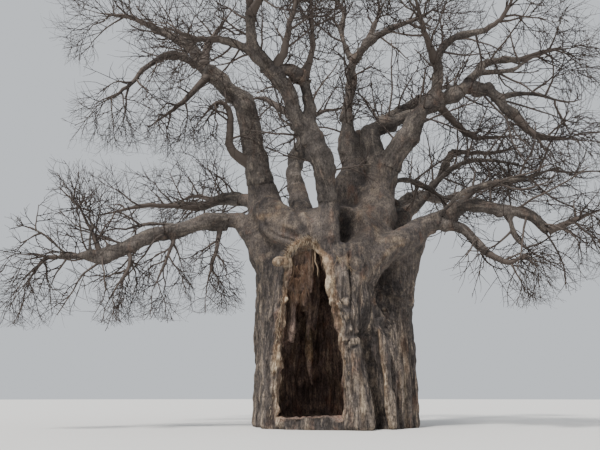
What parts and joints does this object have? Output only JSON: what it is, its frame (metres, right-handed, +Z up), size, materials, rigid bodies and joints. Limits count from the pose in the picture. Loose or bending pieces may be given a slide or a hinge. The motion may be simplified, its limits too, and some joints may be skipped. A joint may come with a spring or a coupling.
{
  "type": "baobab tree",
  "caption": "Old leafless baobab: a massive fluted trunk with a tall torn hollow at its front, tapering boughs and a wide crown of bare twigs.",
  "frame": {"origin": "middle of the flat cut under the trunk, at ground level", "axes": "+Z up the tree; -Y out of the hollow, towards the viewer of the picture; +X to that viewer's right"},
  "size_m": [20.7122, 18.0329, 18.8199],
  "materials": {
    "trunk": "matt grey-brown bark, fibrous and streaked with pale bare wood low down",
    "boughs": "matt grey-brown bark, smooth with wrinkled collars",
    "twigs": "matt dark brown bark"
  },
  "bodies": {
    "root": {"trunk": "trunk", "arm_left": "boughs", "low_left": "boughs", "left_bough": "boughs", "centre_bough": "boughs", "rear_left": "boughs", "mid_bough": "boughs", "right_bough": "boughs", "right_mid": "boughs", "arm_right": "boughs", "rear_arm_left": "boughs", "rear_arm_right": "boughs", "left_high": "boughs", "left_arch": "boughs", "centre_left": "boughs", "centre_right": "boughs", "centre_bridge": "boughs", "centre_arch": "boughs", "centre_up": "boughs", "mid_left": "boughs", "mid_right": "boughs", "right_inner": "boughs", "right_up": "boughs", "right_far": "boughs", "right_arch": "boughs", "rear_right": "boughs", "arm_right_low": "boughs", "twigs_arm_left_tip": "twigs", "twigs_arm_left_up": "twigs", "twigs_hang_near": "twigs", "twigs_hang_mid": "twigs", "twigs_hang_far": "twigs", "twigs_low_left": "twigs", "twigs_left_side": "twigs", "twigs_left_high": "twigs", "twigs_left_arch": "twigs", "twigs_left_droop": "twigs", "twigs_left_spire": "twigs", "twigs_centre_arch": "twigs", "twigs_top_left": "twigs", "twigs_top_front": "twigs", "twigs_centre_elbow": "twigs", "twigs_centre_spire": "twigs", "twigs_rear_left_tip": "twigs", "twigs_rear_mid": "twigs", "twigs_mid_left": "twigs", "twigs_mid_right": "twigs", "twigs_mid_spire": "twigs", "twigs_right_inner": "twigs", "twigs_right_up": "twigs", "twigs_right_front": "twigs", "twigs_right_far": "twigs", "twigs_right_arch": "twigs", "twigs_rear_right_tip": "twigs", "twigs_right_mid": "twigs", "twigs_arm_right_tip": "twigs", "twigs_arm_right_up": "twigs", "twigs_arm_right_low": "twigs", "twigs_rear_arm_left": "twigs", "twigs_rear_arm_right": "twigs"}
  },
  "joints": []
}
